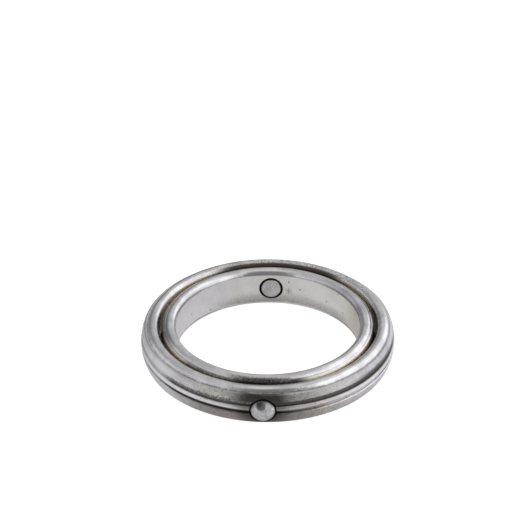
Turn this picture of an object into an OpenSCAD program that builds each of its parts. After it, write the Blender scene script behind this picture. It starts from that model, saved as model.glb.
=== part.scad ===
// Two-hoop swivel finger ring. An inner hoop turns end over end inside an outer hoop,
// on two rivets that lie on one diameter. The bore of the inner hoop takes the finger.
// The origin is the centre of the bore, Z is its axis, and the rivets lie along Y. Front is -Y.
// Every hoop section is drawn with X as the radius and Y as the height.

/* [Inner hoop] */
// Radius of the finger bore
bore_r = 9.4; // [8:0.2:11]
// Thickness of the hoop from the bore to the middle of its spherical back
inner_hoop_t = 1.53; // [1.45:0.01:1.6]
// Radius of the bead round each edge
inner_bead_r = 0.62; // [0.55:0.01:0.64]
// Height of the bead's centre above the middle plane
inner_bead_z = 1.51; // [1.45:0.01:1.6]
// Height of the shoulder between bead and back
shoulder_z = 1.85; // [1.75:0.01:1.95]
// Radius of the rounded shoulder
shoulder_r = 0.35; // [0.25:0.01:0.4]
// Height of the scribed line between bore wall and bead
scribe_z = 1.62; // [1.58:0.01:1.68]
// Radius of the scribed line
scribe_r = 0.05; // [0.02:0.01:0.06]

/* [Outer hoop] */
// Clearance between the turning hoop and the beads of this one
hoop_gap = 0.31; // [0.25:0.01:0.4]
// Radius of the bead round each edge
outer_bead_r = 0.6; // [0.5:0.01:0.62]
// Height of the bead's centre above the middle plane
outer_bead_z = 1.49; // [1.4:0.01:1.6]
// How far the plain inside wall stands back behind the beads
wall_setback = 0.2; // [0.1:0.01:0.3]
// Thickness of the hoop from that wall to the middle of its crowned band
outer_hoop_t = 1.65; // [1.6:0.01:1.8]
// Radius of the crown across the band
crown_r = 3.45; // [3.4:0.05:5]
// Height of the band's top edge
band_z = 1.65; // [1.6:0.01:1.7]
// Radius of the band's rounded edge
band_edge_r = 0.2; // [0.1:0.01:0.3]

/* [Centre ridge] */
// Height of the ridge's centre above the middle plane
ridge_z = 0.12; // [0:0.01:0.2]
// Radius of the round ridge
ridge_r = 0.3; // [0.2:0.01:0.32]
// Width of the groove above the ridge
upper_groove_w = 0.4; // [0.2:0.01:0.5]
// Width of the groove below the ridge
lower_groove_w = 0.2; // [0.15:0.01:0.5]
// Depth of both grooves under the band
groove_depth = 0.25; // [0.15:0.01:0.28]
// Radius of the rounded lips of the band
lip_r = 0.1; // [0.05:0.01:0.12]

/* [Rivets] */
// Height of the rivet axis above the middle plane
rivet_z = -0.1; // [-0.1:0.01:0.1]
// Radius of the rivet shank
shank_r = 0.7; // [0.6:0.05:0.75]
// Radial clearance of the shank in the inner hoop
running_clearance = 0.05; // [0.02:0.01:0.1]
// Radius of the domed outer head
dome_head_r = 1.17; // [1:0.01:1.2]
// Height of the straight rim under the dome
dome_rim_h = 0.24; // [0.1:0.01:0.3]
// Height of the dome above its rim
dome_h = 0.42; // [0.3:0.01:0.5]
// Radius of the flat seat cut into the outer hoop
seat_r = 1.35; // [1.25:0.01:1.36]
// Depth of that seat below the crown of the band
seat_depth = 0.37; // [0.36:0.01:0.5]
// Radius of the flat inner head
flat_head_r = 1.07; // [0.9:0.01:1.1]
// Thickness of the flat inner head
flat_head_h = 0.55; // [0.4:0.01:0.6]
// Width of the chamfer round the flat head
flat_head_chamfer = 0.06; // [0.02:0.01:0.1]
// Radius of the recess that the flat head sits in
recess_r = 1.25; // [1.2:0.01:1.3]
// Gap between the flat head and the floor of its recess
recess_gap = 0.04; // [0.02:0.01:0.08]
// How far above the rivet axis the recess was drilled
recess_drift = 0.08; // [0:0.01:0.1]

/* [Hidden] */
$fn = 120;

// Small overlap that lets neighbouring shapes merge into one solid
weld = 0.1;
// Length well beyond anything that is cut
beyond = 40;

silver = "#b9b9b6";
oxidised_silver = "#8f8f8c";

inner_bead_x = bore_r + inner_bead_r;
back_r = bore_r + inner_hoop_t;
shoulder_centre_z = shoulder_z - shoulder_r;
shoulder_centre_x = sqrt(pow(back_r - shoulder_r, 2) - pow(shoulder_centre_z, 2));

outer_bead_x = sqrt(pow(back_r + hoop_gap + outer_bead_r, 2) - pow(outer_bead_z, 2));
wall_r = outer_bead_x - outer_bead_r + wall_setback;
band_r = wall_r + outer_hoop_t;
crown_x = band_r - crown_r;
band_edge_z = band_z - band_edge_r;
band_edge_x = inside_crown_x(band_edge_r, band_edge_z);
groove_floor_r = band_r - groove_depth;
groove_top_z = ridge_z + ridge_r + upper_groove_w;
groove_bottom_z = ridge_z - ridge_r - lower_groove_w;
ridge_x = band_r - ridge_r;

recess_floor_y = bore_r + flat_head_h + recess_gap;
seat_y = band_r - seat_depth;
dome_r = (pow(dome_head_r, 2) + pow(dome_h, 2)) / (2 * dome_h);
dome_centre_y = seat_y + dome_rim_h + dome_h - dome_r;

// Flats left by the hammer on the domed head: direction round the head, tilt, depth
hammer_flats = [
    [100, 27, 0.06],
    [48, 29, 0.04],
    [352, 25, 0.05],
    [300, 29, 0.04],
    [236, 23, 0.06],
    [172, 28, 0.045],
    [275, 5, 0.03]
];

// Centre, from the bore axis, of a circle of radius r at height z that touches the crown from inside
function inside_crown_x(r, z) = crown_x + sqrt(pow(crown_r - r, 2) - z * z);

// Height at which such a circle touches an arc of radius arc_r centred on the middle plane
function touch_z(arc_r, r, z) = z * arc_r / (arc_r - r);

// Two equal circles, one above the middle plane and one below
module circle_pair(x, z, r) {
    for (side = [-1, 1])
        translate([x, side * z]) circle(r = r);
}

// Sets its children on the rivet axis, with their own Z pointing out of the hoop at the front
module facing_front() {
    translate([0, 0, rivet_z]) rotate([90, 0, 0]) children();
}

// The same for the rear
module facing_rear() {
    rotate([0, 0, 180]) facing_front() children();
}

// Rectangle between two radii, centred on the middle plane
module strip(from_x, to_x, half_h) {
    translate([from_x, -half_h]) square([to_x - from_x, 2 * half_h]);
}

// Section of the inner hoop: straight bore wall, two beads and a spherical back
module inner_section() {
    difference() {
        union() {
            strip(bore_r, inner_bead_x, inner_bead_z);
            strip(inner_bead_x - weld, shoulder_centre_x, shoulder_z);
            intersection() {
                circle(r = back_r);
                strip(shoulder_centre_x - weld, back_r, touch_z(back_r, shoulder_r, shoulder_centre_z));
            }
            circle_pair(inner_bead_x, inner_bead_z, inner_bead_r);
            circle_pair(shoulder_centre_x, shoulder_centre_z, shoulder_r);
        }
        circle_pair(bore_r, scribe_z, scribe_r);
    }
}

// Crowned band of the outer hoop, before the grooves are cut
module band_section() {
    strip(wall_r, band_edge_x, band_z);
    intersection() {
        translate([crown_x, 0]) circle(r = crown_r);
        strip(band_edge_x - weld, band_r, touch_z(crown_r, band_edge_r, band_edge_z));
    }
    circle_pair(band_edge_x, band_edge_z, band_edge_r);
}

// Round lip that a groove leaves on the band, with its centre at a given height
module lip(z) {
    lip_x = inside_crown_x(lip_r, z);
    translate([lip_x, z]) circle(r = lip_r);
    translate([groove_floor_r - weld, z - lip_r]) square([lip_x - groove_floor_r + weld, 2 * lip_r]);
}

// Section of the outer hoop: two beads, a crowned band, and a round ridge between two grooves
module outer_section() {
    upper_lip_z = groove_top_z + lip_r;
    lower_lip_z = groove_bottom_z - lip_r;
    cut_top_z = touch_z(crown_r, lip_r, upper_lip_z);
    cut_bottom_z = touch_z(crown_r, lip_r, lower_lip_z);
    difference() {
        band_section();
        translate([groove_floor_r, cut_bottom_z]) square([beyond, cut_top_z - cut_bottom_z]);
    }
    lip(upper_lip_z);
    lip(lower_lip_z);
    translate([ridge_x, ridge_z]) circle(r = ridge_r);
    circle_pair(outer_bead_x, outer_bead_z, outer_bead_r);
}

// Round cut that leaves a flat seat for a domed head
module seat() {
    translate([0, 0, seat_y]) cylinder(r = seat_r, h = beyond);
}

// Fixed outer hoop, drilled for the two shanks and seated flat for the two domed heads
module outer_hoop() {
    color(silver)
    difference() {
        rotate_extrude() outer_section();
        facing_front() cylinder(r = shank_r, h = beyond, center = true);
        facing_front() seat();
        facing_rear() seat();
    }
}

// Turning inner hoop, with running holes and recesses for the flat inner heads
module inner_hoop() {
    color(silver)
    difference() {
        rotate_extrude() inner_section();
        facing_front() cylinder(r = shank_r + running_clearance, h = beyond, center = true);
        translate([0, 0, recess_drift])
            facing_front() cylinder(r = recess_r, h = 2 * recess_floor_y, center = true);
    }
}

// Outer head: a rim and a low dome with hammered flats
module domed_head() {
    difference() {
        intersection() {
            translate([0, 0, seat_y]) cylinder(r = dome_head_r, h = dome_rim_h + dome_h);
            translate([0, 0, dome_centre_y]) sphere(r = dome_r);
        }
        for (flat = hammer_flats)
            translate([0, 0, dome_centre_y])
            rotate([0, flat[1], flat[0]])
            translate([0, 0, dome_r - flat[2] + beyond / 2])
            cube(beyond, center = true);
    }
}

// Rivet along Z: flat head at the bore, shank through both hoops, domed head outside
module rivet() {
    translate([0, 0, bore_r])
        cylinder(r1 = flat_head_r - flat_head_chamfer, r2 = flat_head_r, h = flat_head_chamfer);
    translate([0, 0, bore_r + flat_head_chamfer])
        cylinder(r = flat_head_r, h = flat_head_h - flat_head_chamfer);
    translate([0, 0, bore_r + flat_head_h - weld])
        cylinder(r = shank_r, h = seat_y - bore_r - flat_head_h + 2 * weld);
    domed_head();
}

module front_rivet() {
    color(oxidised_silver) facing_front() rivet();
}

module rear_rivet() {
    color(oxidised_silver) facing_rear() rivet();
}

outer_hoop();
inner_hoop();
front_rivet();
rear_rivet();
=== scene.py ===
"""Looks for the two-hoop swivel finger ring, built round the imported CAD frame. Lengths in mm unless said."""
import math

import bpy
from mathutils import Matrix, Vector


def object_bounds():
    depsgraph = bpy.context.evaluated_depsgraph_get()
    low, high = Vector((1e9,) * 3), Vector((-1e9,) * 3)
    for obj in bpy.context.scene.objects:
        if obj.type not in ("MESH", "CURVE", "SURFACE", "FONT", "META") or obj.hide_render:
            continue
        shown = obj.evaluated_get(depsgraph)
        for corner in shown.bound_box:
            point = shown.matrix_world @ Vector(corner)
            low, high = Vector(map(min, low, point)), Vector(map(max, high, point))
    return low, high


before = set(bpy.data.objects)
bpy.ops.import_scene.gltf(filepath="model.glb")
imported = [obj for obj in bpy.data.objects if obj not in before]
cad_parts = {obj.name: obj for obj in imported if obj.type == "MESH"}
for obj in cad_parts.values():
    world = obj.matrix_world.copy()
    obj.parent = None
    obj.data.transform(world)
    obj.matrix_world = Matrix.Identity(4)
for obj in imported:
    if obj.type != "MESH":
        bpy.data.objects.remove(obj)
cad_low, cad_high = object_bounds()

MM = 0.001

# ---------------------------------------------------------------- sizes of the ring that the looks follow

# Radii and heights of the sections. The crown is the arc across the outer band, and a crease is the
# line where a bead meets the rest of its hoop.
BORE_R = 9.4
CROWN_CENTRE_R = 9.546
CROWN_R = 3.45
BAND_R = 12.40
OUTER_CREASE_R = 12.324
OUTER_CREASE_Z = 1.65
INNER_CREASE_R = 10.57
INNER_CREASE_Z = 1.84
SCRIBE_Z = 1.62
RIDGE_Z = 0.12
RIVET_Z = -0.1
SEAT_R = 1.35
RECESS_R = 1.25
RECESS_Z = -0.02
# A surface between these two radii faces the gap
GAP_FROM_R = 10.78
GAP_TO_R = 11.3
# The flat heads and their recesses lie inside these radii
FLAT_HEADS_WITHIN_R = 10.2
RECESSES_WITHIN_R = 10.3

# ---------------------------------------------------------------- camera

CAMERA_DISTANCE = 185.0
CAMERA_LENS = 122.3
CAMERA_AZIMUTH = 2.3
CAMERA_ELEVATION = 33.6
CAMERA_ROLL = 0.35
AIM_ABOVE_CENTRE = 7.36
AIM_LEFT_OF_CENTRE = 0.25
CLIP_START_M = 0.01
CLIP_END_M = 10


def add_camera():
    azimuth = math.radians(CAMERA_AZIMUTH)
    elevation = math.radians(CAMERA_ELEVATION)
    back = Vector((
        math.sin(azimuth) * math.cos(elevation),
        -math.cos(azimuth) * math.cos(elevation),
        math.sin(elevation),
    ))
    right = Vector((math.cos(azimuth), math.sin(azimuth), 0))
    up = back.cross(right)
    place = back * CAMERA_DISTANCE
    aim = up * AIM_ABOVE_CENTRE - right * AIM_LEFT_OF_CENTRE
    data = bpy.data.cameras.new("camera")
    data.lens = CAMERA_LENS
    data.clip_start = CLIP_START_M
    data.clip_end = CLIP_END_M
    camera = bpy.data.objects.new("camera", data)
    bpy.context.scene.collection.objects.link(camera)
    look = (aim - place).to_track_quat("-Z", "Y").to_matrix().to_4x4()
    roll = Matrix.Rotation(math.radians(-CAMERA_ROLL), 4, "Z")
    camera.matrix_world = Matrix.Translation(place * MM) @ look @ roll
    bpy.context.scene.camera = camera


# ---------------------------------------------------------------- shader arithmetic


class Field:
    """A number that varies over a surface. Python arithmetic on it adds Math nodes."""

    def __init__(self, tree, source):
        self.tree = tree
        self.source = source

    def math(self, operation, *others):
        node = self.tree.nodes.new("ShaderNodeMath")
        node.operation = operation
        for socket, value in zip(node.inputs, (self, *others)):
            if isinstance(value, Field):
                self.tree.links.new(value.source, socket)
            else:
                socket.default_value = value
        return Field(self.tree, node.outputs[0])

    def __add__(self, other):
        return self.math("ADD", other)

    def __sub__(self, other):
        return self.math("SUBTRACT", other)

    def __mul__(self, other):
        return self.math("MULTIPLY", other)

    def __truediv__(self, other):
        return self.math("DIVIDE", other)

    def __abs__(self):
        return self.math("ABSOLUTE")

    def __or__(self, other):
        """The greater of two masks."""
        return self.math("MAXIMUM", other)

    def __invert__(self):
        """0 where a mask is 1, and 1 where it is 0."""
        return self * -1 + 1

    def ramp(self, start, end, low=0.0, high=1.0):
        """Smooth rise from low at start to high at end. start may be the larger one."""
        node = self.tree.nodes.new("ShaderNodeMapRange")
        node.interpolation_type = "SMOOTHSTEP"
        if start > end:
            start, end, low, high = end, start, high, low
        for name, value in (("From Min", start), ("From Max", end), ("To Min", low), ("To Max", high)):
            node.inputs[name].default_value = value
        self.tree.links.new(self.source, node.inputs["Value"])
        return Field(self.tree, node.outputs["Result"])

    def distance(self, other, here, there):
        """Distance in the plane of self and other from the point (here, there)."""
        return ((self - here).math("POWER", 2) + (other - there).math("POWER", 2)).math("SQRT")


def combined(tree, x, y, z):
    """Vector made of three fields."""
    node = tree.nodes.new("ShaderNodeCombineXYZ")
    for field, socket in zip((x, y, z), node.inputs):
        tree.links.new(field.source, socket)
    return node.outputs[0]


def blended(tree, amount, first, second):
    """Colour going from first at 0 to second at 1. Either may be a colour or another blend."""
    node = tree.nodes.new("ShaderNodeMix")
    node.data_type = "RGBA"
    tree.links.new(amount.source, node.inputs["Factor"])
    for socket, colour in ((node.inputs[6], first), (node.inputs[7], second)):
        if isinstance(colour, tuple):
            socket.default_value = (*colour, 1)
        else:
            tree.links.new(colour, socket)
    return node.outputs[2]


class Metal:
    """A metallic material under construction, with the ring's own coordinates as fields in mm."""

    def __init__(self, name, seed):
        self.material = bpy.data.materials.new(name)
        self.material.use_nodes = True
        self.tree = self.material.node_tree
        self.seed = seed
        self.shader = self.tree.nodes["Principled BSDF"]
        self.shader.inputs["Metallic"].default_value = 1.0
        place = self.tree.nodes.new("ShaderNodeTexCoord").outputs["Object"]
        split = self.tree.nodes.new("ShaderNodeSeparateXYZ")
        self.tree.links.new(place, split.inputs[0])
        self.x, self.y, self.z = (Field(self.tree, out) * (1 / MM) for out in split.outputs)
        self.radius = self.x.distance(self.y, 0, 0)
        self.height = abs(self.z)
        self.from_rivet_axis = self.x.distance(self.z, 0, RIVET_Z)
        self.place = combined(self.tree, self.x + seed, self.y, self.z)

    def add_hoop_noises(self):
        """The noises that both hoops share, from the coarsest to the finest."""
        self.clouds = self.noise(0.45)
        self.spots = self.noise(2.2)
        self.speckle = self.noise(6, detail=4)
        self.brush = self.brushed(per_turn=6, per_mm=14)
        self.fine_brush = self.brushed(per_turn=20, per_mm=45)

    def hoop_silver(self):
        """Colour of a clean hoop: cloudy silver with brighter brush marks."""
        colour = self.blend(self.clouds.ramp(*MIDDLE), SILVER, DULL_SILVER)
        return self.blend(self.brush.ramp(0.4, 0.7, 0.0, 0.35), colour, BRIGHT_SILVER_AND_GLINT)

    def noise(self, per_mm, detail=3, roughness=0.55):
        """Even noise with per_mm features in a millimetre."""
        node = self.tree.nodes.new("ShaderNodeTexNoise")
        node.inputs["Scale"].default_value = per_mm
        node.inputs["Detail"].default_value = detail
        node.inputs["Roughness"].default_value = roughness
        self.tree.links.new(self.place, node.inputs["Vector"])
        return Field(self.tree, node.outputs["Fac"])

    def brushed(self, per_turn, per_mm, detail=2):
        """Noise drawn out along the hoop: long round it, fine across it."""
        node = self.tree.nodes.new("ShaderNodeTexNoise")
        node.noise_dimensions = "4D"
        node.inputs["Scale"].default_value = 1.0
        node.inputs["Detail"].default_value = detail
        round_x = self.x / self.radius * per_turn
        round_y = self.y / self.radius * per_turn
        place = combined(self.tree, round_x, round_y, self.z * per_mm)
        self.tree.links.new(place, node.inputs["Vector"])
        self.tree.links.new((self.radius * per_mm + self.seed).source, node.inputs["W"])
        return Field(self.tree, node.outputs["Fac"])

    def pits(self, per_mm, size, share):
        """1 in small scattered dots, 0 elsewhere."""
        node = self.tree.nodes.new("ShaderNodeTexVoronoi")
        node.inputs["Scale"].default_value = per_mm
        self.tree.links.new(self.place, node.inputs["Vector"])
        split = self.tree.nodes.new("ShaderNodeSeparateColor")
        self.tree.links.new(node.outputs["Color"], split.inputs[0])
        chosen = Field(self.tree, split.outputs[0]).math("LESS_THAN", share)
        return Field(self.tree, node.outputs["Distance"]).ramp(size, size * 0.4) * chosen

    def near(self, place, full, faded):
        """1 within full mm of a place on the ring, falling to 0 at faded mm."""
        x, y, z = place
        across = self.x.distance(self.y, x, y)
        return across.distance(self.z, 0, z).ramp(faded, full)

    def sector(self, azimuth, full, faded):
        """1 within full degrees of an azimuth counted from +X towards +Y, 0 beyond faded degrees."""
        angle = math.radians(azimuth)
        toward = (self.x * math.cos(angle) + self.y * math.sin(angle)) / self.radius
        return toward.ramp(math.cos(math.radians(faded)), math.cos(math.radians(full)))

    def painted_gap_light(self):
        """1 in the four directions where the walls of the gap are painted lit, as a pool of painted light."""
        rear = self.sector(38, full=10, faded=26) | self.sector(145, full=16, faded=34)
        front = self.sector(-42, full=18, faded=34) | self.sector(-136, full=16, faded=34)
        return front | rear

    def blend(self, amount, first, second):
        return blended(self.tree, amount, first, second)

    def finish(self, colour, roughness, relief):
        """Colour and roughness of the surface, and its relief in mm."""
        self.tree.links.new(colour, self.shader.inputs["Base Color"])
        self.tree.links.new(roughness.source, self.shader.inputs["Roughness"])
        bump = self.tree.nodes.new("ShaderNodeBump")
        bump.inputs["Distance"].default_value = MM
        self.tree.links.new(relief.source, bump.inputs["Height"])
        self.tree.links.new(bump.outputs[0], self.shader.inputs["Normal"])
        return self.material


# ---------------------------------------------------------------- materials
#
# A mask is a Field that is 1 on the stretch that its name says and falls to 0 round it. ramp(a, b)
# rises from a to b, so a pair that runs downwards keeps what lies below it. Its third and fourth
# numbers are the values at a and b. Heights, radii and places are in mm, and directions in degrees.

# Pale olive is painted light; bright silver also paints glints; brown, dark greys and black also paint shade.
SILVER = (0.745, 0.738, 0.75)
DULL_SILVER = (0.57, 0.563, 0.573)
BRIGHT_SILVER_AND_GLINT = (0.90, 0.89, 0.90)
WARM_SILVER = (0.85, 0.82, 0.785)
SLATE_GREY = (0.33, 0.325, 0.34)
GREY_PATINA_AND_SHADE = (0.25, 0.222, 0.212)
OLIVE_TARNISH = (0.475, 0.432, 0.362)
PALE_OLIVE_LIGHT = (0.80, 0.745, 0.60)
BROWN_TARNISH_AND_SHADE = (0.105, 0.08, 0.062)
SOOT_AND_SHADE_GREY = (0.085, 0.077, 0.073)
BLACKENED_AND_SHADE = (0.02, 0.018, 0.017)

# The part of a noise's range that most of its values fall in, and a wider one for a softer change
MIDDLE = (0.35, 0.65)
WIDE = (0.3, 0.7)

# Marks that sit in one place, in mm: painted shade round and on the front head and along the groove at the
# right, and a smudge
SHADOW_AND_OXIDE_OVER_FRONT_HEAD = (-0.1, -12.9, 0.45)
SHADE_AND_PATINA_STREAK_AT_RIGHT = (12.0, -4.9, 0.75)
SMUDGE_BESIDE_REAR_HEAD = (1.9, 9.2, -0.2)
DARK_REFLECTION_ON_FRONT_HEAD = (-0.25, -13.1, 0.6)


def outer_silver():
    metal = Metal("outer_silver", seed=0)
    metal.add_hoop_noises()
    spots, speckle, brush = metal.spots, metal.speckle, metal.brush
    grain = metal.noise(14, detail=2)

    crown = (metal.z * metal.z * -1 + CROWN_R ** 2).math("MAXIMUM", 0).math("SQRT") + CROWN_CENTRE_R
    band = metal.radius.ramp(BAND_R, BAND_R + 0.06)
    beads = metal.radius.ramp(BAND_R - 0.04, BAND_R - 0.1)
    ridge = band * abs(metal.z - RIDGE_Z).ramp(0.27, 0.2)
    front = band * (abs(metal.x).ramp(10.5, 4.5) * metal.y.ramp(0, -6))
    below = metal.z.ramp(0.0, -0.3)

    # Black patina and painted shade in the two grooves, worn off at the far left and, right of the middle, in
    # the lower one
    worn_left = metal.x.ramp(-10.6, -8.8, 0.9, 0.0)
    worn_below = below * metal.x.ramp(2.0, -3.0, 0.95, 0.15)
    groove_shade_and_patina = (crown - metal.radius).ramp(0.05, 0.2) * band * metal.height.ramp(1.2, 1.0)
    groove_shade_and_patina = groove_shade_and_patina * ~worn_left * ~worn_below

    # Tarnish on the band, with painted shade on the lower band, along the upper groove and round the front
    # head
    olive = front * metal.x.ramp(-9, -4, 0.5, 1.0)
    # Painted shade on the lower band at the front, fading out towards the right
    lower_band_shade = front * below * metal.x.ramp(8, 2)
    dull_right = metal.sector(-34, full=18, faded=46) * band * metal.z.ramp(0.05, 0.3)
    # Mottled patina and painted shade on the band above the upper groove, strongest at the right
    streak_shade_and_patina = band * metal.z.ramp(1.0, 0.62) * metal.z.ramp(0.3, 0.42) * metal.x.ramp(-6, 3)
    right_streak_shade_and_patina = metal.near(SHADE_AND_PATINA_STREAK_AT_RIGHT, full=3.0, faded=7.0)
    right_streak_shade_and_patina = right_streak_shade_and_patina * metal.z.ramp(1.3, 1.0) * metal.z.ramp(0.3, 0.5)
    # Oxide and a painted shadow round the front head, broadest to the left and above, and a black seat under
    # its rim
    head_shadow_and_oxide = metal.near(SHADOW_AND_OXIDE_OVER_FRONT_HEAD, full=1.6, faded=3.6) * band
    seat_shadow_and_oxide = metal.from_rivet_axis.ramp(SEAT_R + 0.05, SEAT_R - 0.03) * band
    pits = metal.pits(2.4, 0.22, 0.35) * band * metal.z.ramp(0.9, 0.6, 0.3, 1.0)

    # A rough line above the upper groove at the left: bumps painted bright as glints, with dark dots above and
    # behind it
    grit_glints = grain.ramp(0.5, 0.62) * band * metal.z.ramp(0.55, 0.62) * metal.z.ramp(0.95, 0.8)
    grit_glints = grit_glints * metal.sector(-114, full=8, faded=24)
    dots = speckle.ramp(0.52, 0.6) * band * metal.z.ramp(0.7, 0.8) * metal.z.ramp(1.1, 0.98)
    dots = dots * metal.sector(-114, full=12, faded=26)

    # Beads and gap: painted shade in the front crease and on the gap walls, and painted light where the gap
    # walls are lit
    # Painted shade in the front crease between the outer bead and the band
    crease_shade = metal.radius.distance(metal.height, OUTER_CREASE_R, OUTER_CREASE_Z).ramp(0.2, 0.0)
    crease_shade = crease_shade * metal.sector(-90, full=20, faded=110)
    front_grime = metal.radius.ramp(11.95, 11.5) * metal.z.ramp(1.0, 1.4)
    front_grime = front_grime * metal.sector(-86, full=8, faded=28)
    rear_wear = metal.sector(78, full=30, faded=75) * beads
    rear_shadow = metal.radius.ramp(GAP_TO_R + 0.22, GAP_TO_R + 0.08) * metal.height.ramp(2.05, 1.9)
    rear_shadow = rear_shadow * metal.sector(84, full=26, faded=46)
    # The gap walls: brown tarnish deepened as painted shade, turning pale olive as painted light in the lit
    # directions
    gap_wall_light_and_shade = metal.radius.ramp(GAP_TO_R + 0.2, GAP_TO_R) * metal.height.ramp(1.78, 1.5)
    gap_wall_light_and_shade = gap_wall_light_and_shade | rear_shadow
    gap_light_and_shade = metal.blend(metal.painted_gap_light() * ~rear_shadow, BROWN_TARNISH_AND_SHADE, PALE_OLIVE_LIGHT)

    colour = metal.hoop_silver()
    colour = metal.blend(olive * spots.ramp(*MIDDLE, 0.35, 0.85), colour, OLIVE_TARNISH)
    colour = metal.blend(lower_band_shade * 0.7, colour, GREY_PATINA_AND_SHADE)
    colour = metal.blend(dull_right * spots.ramp(*WIDE, 0.75, 0.5), colour, SLATE_GREY)
    colour = metal.blend(front * speckle.ramp(0.5, 0.62, 0.0, 0.55), colour, GREY_PATINA_AND_SHADE)
    colour = metal.blend(rear_wear * speckle.ramp(0.45, 0.66, 0.0, 0.75), colour, GREY_PATINA_AND_SHADE)
    colour = metal.blend(front_grime * speckle.ramp(0.3, 0.62, 0.6, 0.85), colour, SOOT_AND_SHADE_GREY)
    colour = metal.blend(streak_shade_and_patina * speckle.ramp(0.36, 0.6, 0.5, 0.95), colour, GREY_PATINA_AND_SHADE)
    colour = metal.blend(right_streak_shade_and_patina * speckle.ramp(0.36, 0.58, 0.75, 1.0), colour, SOOT_AND_SHADE_GREY)
    colour = metal.blend(head_shadow_and_oxide * 0.95, colour, SOOT_AND_SHADE_GREY)
    colour = metal.blend(ridge * (head_shadow_and_oxide * -0.6 + 1) * metal.x.ramp(6, 0, 0.2, 0.8), colour, BRIGHT_SILVER_AND_GLINT)
    colour = metal.blend(gap_wall_light_and_shade * 0.95, colour, gap_light_and_shade)
    colour = metal.blend(groove_shade_and_patina * speckle.ramp(*MIDDLE, 0.95, 0.7), colour, SOOT_AND_SHADE_GREY)
    colour = metal.blend(dots * 0.85, colour, SOOT_AND_SHADE_GREY)
    colour = metal.blend(grit_glints, colour, BRIGHT_SILVER_AND_GLINT)
    black = (crease_shade * spots.ramp(0.35, 0.6, 0.05, 0.45)) | (seat_shadow_and_oxide * 0.85) | (pits * 0.45)
    colour = metal.blend(black, colour, BLACKENED_AND_SHADE)

    roughness = metal.clouds.ramp(*WIDE, 0.17, 0.27) + band * 0.14 + gap_wall_light_and_shade * 0.35 + black * 0.2
    roughness = roughness + metal.fine_brush.ramp(*WIDE, -0.05, 0.05)
    relief = brush * (band * 0.005 + 0.006) + metal.fine_brush * 0.003 + metal.clouds * 0.05
    relief = relief + speckle * 0.006 * (band * 1.5 + 0.5) - pits * 0.03 + grit_glints * 0.03
    return metal.finish(colour, roughness, relief)


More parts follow.
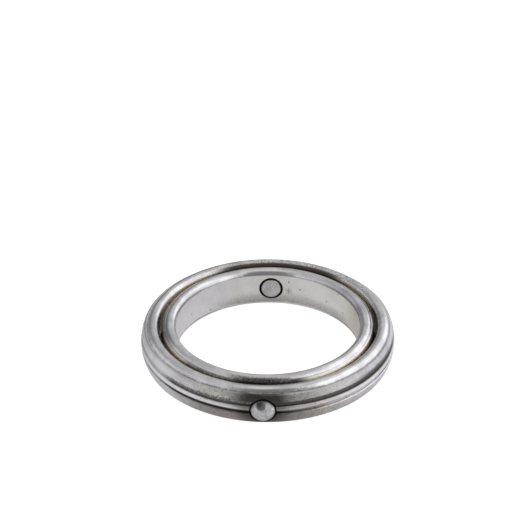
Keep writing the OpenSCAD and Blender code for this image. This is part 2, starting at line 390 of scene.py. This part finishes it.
def inner_silver():
    metal = Metal("inner_silver", seed=7)
    metal.add_hoop_noises()
    spots, speckle = metal.spots, metal.speckle
    gap_lit = metal.painted_gap_light()

    # The bore wall, greyer at the right, at the left and towards its lower edge
    bore = metal.radius.ramp(BORE_R + 0.03, BORE_R + 0.01) * metal.height.ramp(SCRIBE_Z, SCRIBE_Z - 0.06)
    bore_right = bore * metal.sector(5, full=12, faded=32)
    bore_left = bore * metal.sector(152, full=26, faded=48)
    bore_foot = bore * metal.z.ramp(-0.2, -1.5) * metal.sector(78, full=34, faded=58)
    # Painted shade on the flank of the upper bead next to the bore, at the left and the right
    bore_edge_shade = metal.radius.ramp(BORE_R + 0.24, BORE_R + 0.04) * metal.height.ramp(1.5, 1.6)
    bore_edge_shade = bore_edge_shade * abs(metal.x).ramp(4.5, 8.0)
    scribe = metal.radius.distance(metal.height, BORE_R + 0.03, SCRIBE_Z).ramp(0.07, 0.03)
    recess = metal.x.distance(metal.z, 0, RECESS_Z).ramp(RECESS_R + 0.05, RECESS_R)
    recess = recess * metal.radius.ramp(RECESSES_WITHIN_R + 0.1, RECESSES_WITHIN_R)
    smudge = metal.near(SMUDGE_BESIDE_REAR_HEAD, full=0.15, faded=0.6) * speckle.ramp(0.45, 0.6) * bore
    pits = metal.pits(1.7, 0.24, 0.16) * bore

    # The back and the flank of the upper bead, which faces the gap
    back = metal.radius.ramp(GAP_FROM_R - 0.18, GAP_FROM_R)
    flank = metal.radius.ramp(10.15, 10.4) * metal.z.ramp(1.0, 1.4)
    dull_flank = flank * metal.sector(178, full=20, faded=36)
    left_grime = metal.sector(-118, full=12, faded=24) * metal.radius.ramp(10.5, 10.7)
    grime = flank * (metal.sector(-95, full=6, faded=18) | left_grime)
    front_grime = metal.radius.ramp(10.45, 10.65) * metal.z.ramp(1.0, 1.4)
    front_grime = front_grime * metal.sector(-86, full=12, faded=22)
    scratches = metal.brushed(per_turn=3, per_mm=30).ramp(0.5, 0.62) * metal.z.ramp(1.6, 1.8)
    scratches = scratches * metal.sector(58, full=18, faded=32)
    # Painted shade in the crease between the upper bead and its shoulder, left out where the gap is painted
    # lit
    crease_shade = metal.radius.distance(metal.height, INNER_CREASE_R, INNER_CREASE_Z).ramp(0.16, 0.0) * ~gap_lit
    gap_light_and_shade = metal.blend(gap_lit, BROWN_TARNISH_AND_SHADE, PALE_OLIVE_LIGHT)

    colour = metal.hoop_silver()
    colour = metal.blend(bore * spots.ramp(*WIDE, 0.95, 0.75), colour, WARM_SILVER)
    colour = metal.blend(bore_right * 0.5, colour, OLIVE_TARNISH)
    colour = metal.blend(bore_left * spots.ramp(*WIDE, 0.9, 0.7), colour, DULL_SILVER)
    colour = metal.blend(bore_foot * speckle.ramp(*WIDE, 0.4, 0.7), colour, GREY_PATINA_AND_SHADE)
    colour = metal.blend(bore_edge_shade * 0.7, colour, SLATE_GREY)
    colour = metal.blend(dull_flank * 0.6, colour, GREY_PATINA_AND_SHADE)
    # The back, facing the gap, takes the gap colour: painted shade over brown tarnish, and painted light in
    # the lit directions
    colour = metal.blend(back * 0.85, colour, gap_light_and_shade)
    colour = metal.blend(grime * speckle.ramp(0.3, 0.62, 0.45, 0.9), colour, SOOT_AND_SHADE_GREY)
    colour = metal.blend(front_grime * speckle.ramp(0.3, 0.62, 0.6, 0.9), colour, BLACKENED_AND_SHADE)
    colour = metal.blend(scratches * 0.6, colour, GREY_PATINA_AND_SHADE)
    black = (crease_shade * spots.ramp(0.35, 0.6, 0.1, 0.45)) | recess | (pits * 0.65) | (scribe * 0.3)
    black = black | (smudge * 0.5)
    colour = metal.blend(black, colour, BLACKENED_AND_SHADE)

    roughness = metal.clouds.ramp(*WIDE, 0.15, 0.24) + bore * 0.28 + back * 0.3 + black * 0.2
    roughness = roughness + metal.fine_brush.ramp(*WIDE, -0.04, 0.04)
    relief = metal.brush * 0.006 + metal.fine_brush * 0.003 + speckle * 0.004 + metal.clouds * 0.05
    return metal.finish(colour, roughness, relief - pits * 0.02)


def rivet_silver():
    metal = Metal("rivet_silver", seed=3)
    clouds = metal.noise(1.2)
    speckle = metal.noise(5, detail=4)
    grain = metal.noise(11, detail=2)
    # The rim of each head is blackened: oxide and a painted contact shadow
    rim_shadow_and_oxide = metal.from_rivet_axis.ramp(0.95, 1.15)
    flat_head = metal.radius.ramp(FLAT_HEADS_WITHIN_R + 0.4, FLAT_HEADS_WITHIN_R)
    pits = metal.pits(3.0, 0.3, 0.3) * flat_head
    # A painted dark reflection on the upper facet of the front head
    dark_facet_reflection = metal.near(DARK_REFLECTION_ON_FRONT_HEAD, full=0.3, faded=0.6)

    colour = metal.blend(clouds.ramp(*MIDDLE), SILVER, DULL_SILVER)
    colour = metal.blend(speckle.ramp(0.4, 0.7, 0.05, 0.4), colour, GREY_PATINA_AND_SHADE)
    colour = metal.blend(flat_head * grain.ramp(*MIDDLE, 0.05, 0.35), colour, OLIVE_TARNISH)
    colour = metal.blend(dark_facet_reflection * clouds.ramp(*MIDDLE, 0.5, 0.9), colour, SOOT_AND_SHADE_GREY)
    colour = metal.blend((rim_shadow_and_oxide * 0.5) | (pits * 0.6), colour, BLACKENED_AND_SHADE)
    roughness = clouds.ramp(*WIDE, 0.28, 0.4)
    relief = speckle * 0.012 + grain * 0.004 + clouds * 0.05
    return metal.finish(colour, roughness, relief)


def dress_cad():
    looks = {
        "outer_hoop": outer_silver(),
        "inner_hoop": inner_silver(),
    }
    rivets = rivet_silver()
    for name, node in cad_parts.items():
        node.data.materials.clear()
        node.data.materials.append(looks.get(name, rivets))


# ---------------------------------------------------------------- floor and light

FLOOR_HALF = 1500
FLOOR_GREY = (0.45, 0.45, 0.45, 1)
FLOOR_GLOW = 0.85
FLOOR_ROUGHNESS = 0.8

# Strengths of the light tent: its even ground, what its lights add and what its gaps take away
TENT_UNDERNEATH = 0.58
TENT_ROUND = 0.64
SOFTBOX = 0.68
LEFT_FILL = 0.1
TOP_LIGHT = 0.14
CAMERA_GAP = 0.42
REAR_GAP = 0.38
LEFT_GAP = 0.24
TENT_DARKEST = 0.02
TENT_TINT_LOW = (0.98, 0.98, 1.0)
TENT_TINT_HIGH = (1.0, 0.995, 0.975)
# Keeps the division by the horizontal length of a direction safe straight up and down
LEAST_ACROSS = 0.001


def add_floor():
    half = FLOOR_HALF * MM
    corners = [(-half, -half, 0), (half, -half, 0), (half, half, 0), (-half, half, 0)]
    mesh = bpy.data.meshes.new("floor")
    mesh.from_pydata(corners, [], [(0, 1, 2, 3)])
    material = bpy.data.materials.new("floor")
    material.use_nodes = True
    shader = material.node_tree.nodes["Principled BSDF"]
    shader.inputs["Base Color"].default_value = FLOOR_GREY
    shader.inputs["Roughness"].default_value = FLOOR_ROUGHNESS
    shader.inputs["Specular IOR Level"].default_value = 0.0
    shader.inputs["Emission Color"].default_value = (1, 1, 1, 1)
    shader.inputs["Emission Strength"].default_value = FLOOR_GLOW
    mesh.materials.append(material)
    floor = bpy.data.objects.new("floor", mesh)
    floor.location.z = cad_low.z
    floor.visible_glossy = False
    bpy.context.scene.collection.objects.link(floor)


def add_light_tent():
    """A light tent round the ring: brightest at the right, with dark gaps at the camera and behind."""
    world = bpy.data.worlds.new("studio")
    world.use_nodes = True
    tree = world.node_tree
    direction = tree.nodes.new("ShaderNodeTexCoord").outputs["Generated"]
    split = tree.nodes.new("ShaderNodeSeparateXYZ")
    tree.links.new(direction, split.inputs[0])
    x, y, z = (Field(tree, out) for out in split.outputs)
    across = x.distance(y, 0, 0).math("MAXIMUM", LEAST_ACROSS)

    def side(azimuth, full, faded):
        """1 within full degrees of an azimuth counted from the front to the right, 0 beyond faded degrees."""
        angle = math.radians(azimuth)
        toward = (x * math.sin(angle) - y * math.cos(angle)) / across
        return toward.ramp(math.cos(math.radians(faded)), math.cos(math.radians(full)))

    def level(start, end):
        """Rise over elevation, from degrees start to degrees end."""
        return z.ramp(math.sin(math.radians(start)), math.sin(math.radians(end)))

    softbox = side(95, 45, 66) * level(-60, -8) * level(80, 50)
    left_fill = side(-80, 35, 75) * level(50, 30)
    top_light = level(74, 86)
    camera_gap = side(4, 18, 42) * level(-16, -2) * level(84, 55)
    rear_gap = side(-150, 18, 34) * level(-20, -6) * level(38, 20)
    left_gap = side(-128, 10, 34) * level(18, 32) * level(54, 42)
    strength = z.ramp(-0.9, -0.2, TENT_UNDERNEATH, TENT_ROUND)
    strength = strength + softbox * SOFTBOX + left_fill * LEFT_FILL + top_light * TOP_LIGHT
    strength = strength - camera_gap * CAMERA_GAP - rear_gap * REAR_GAP - left_gap * LEFT_GAP
    strength = strength.math("MAXIMUM", TENT_DARKEST)
    tint = blended(tree, level(75, 30), TENT_TINT_HIGH, TENT_TINT_LOW)
    background = tree.nodes["Background"]
    tree.links.new(tint, background.inputs["Color"])
    tree.links.new(strength.source, background.inputs["Strength"])
    bpy.context.scene.world = world


bpy.context.scene.view_settings.view_transform = "Standard"
add_camera()
dress_cad()
add_floor()
add_light_tent()
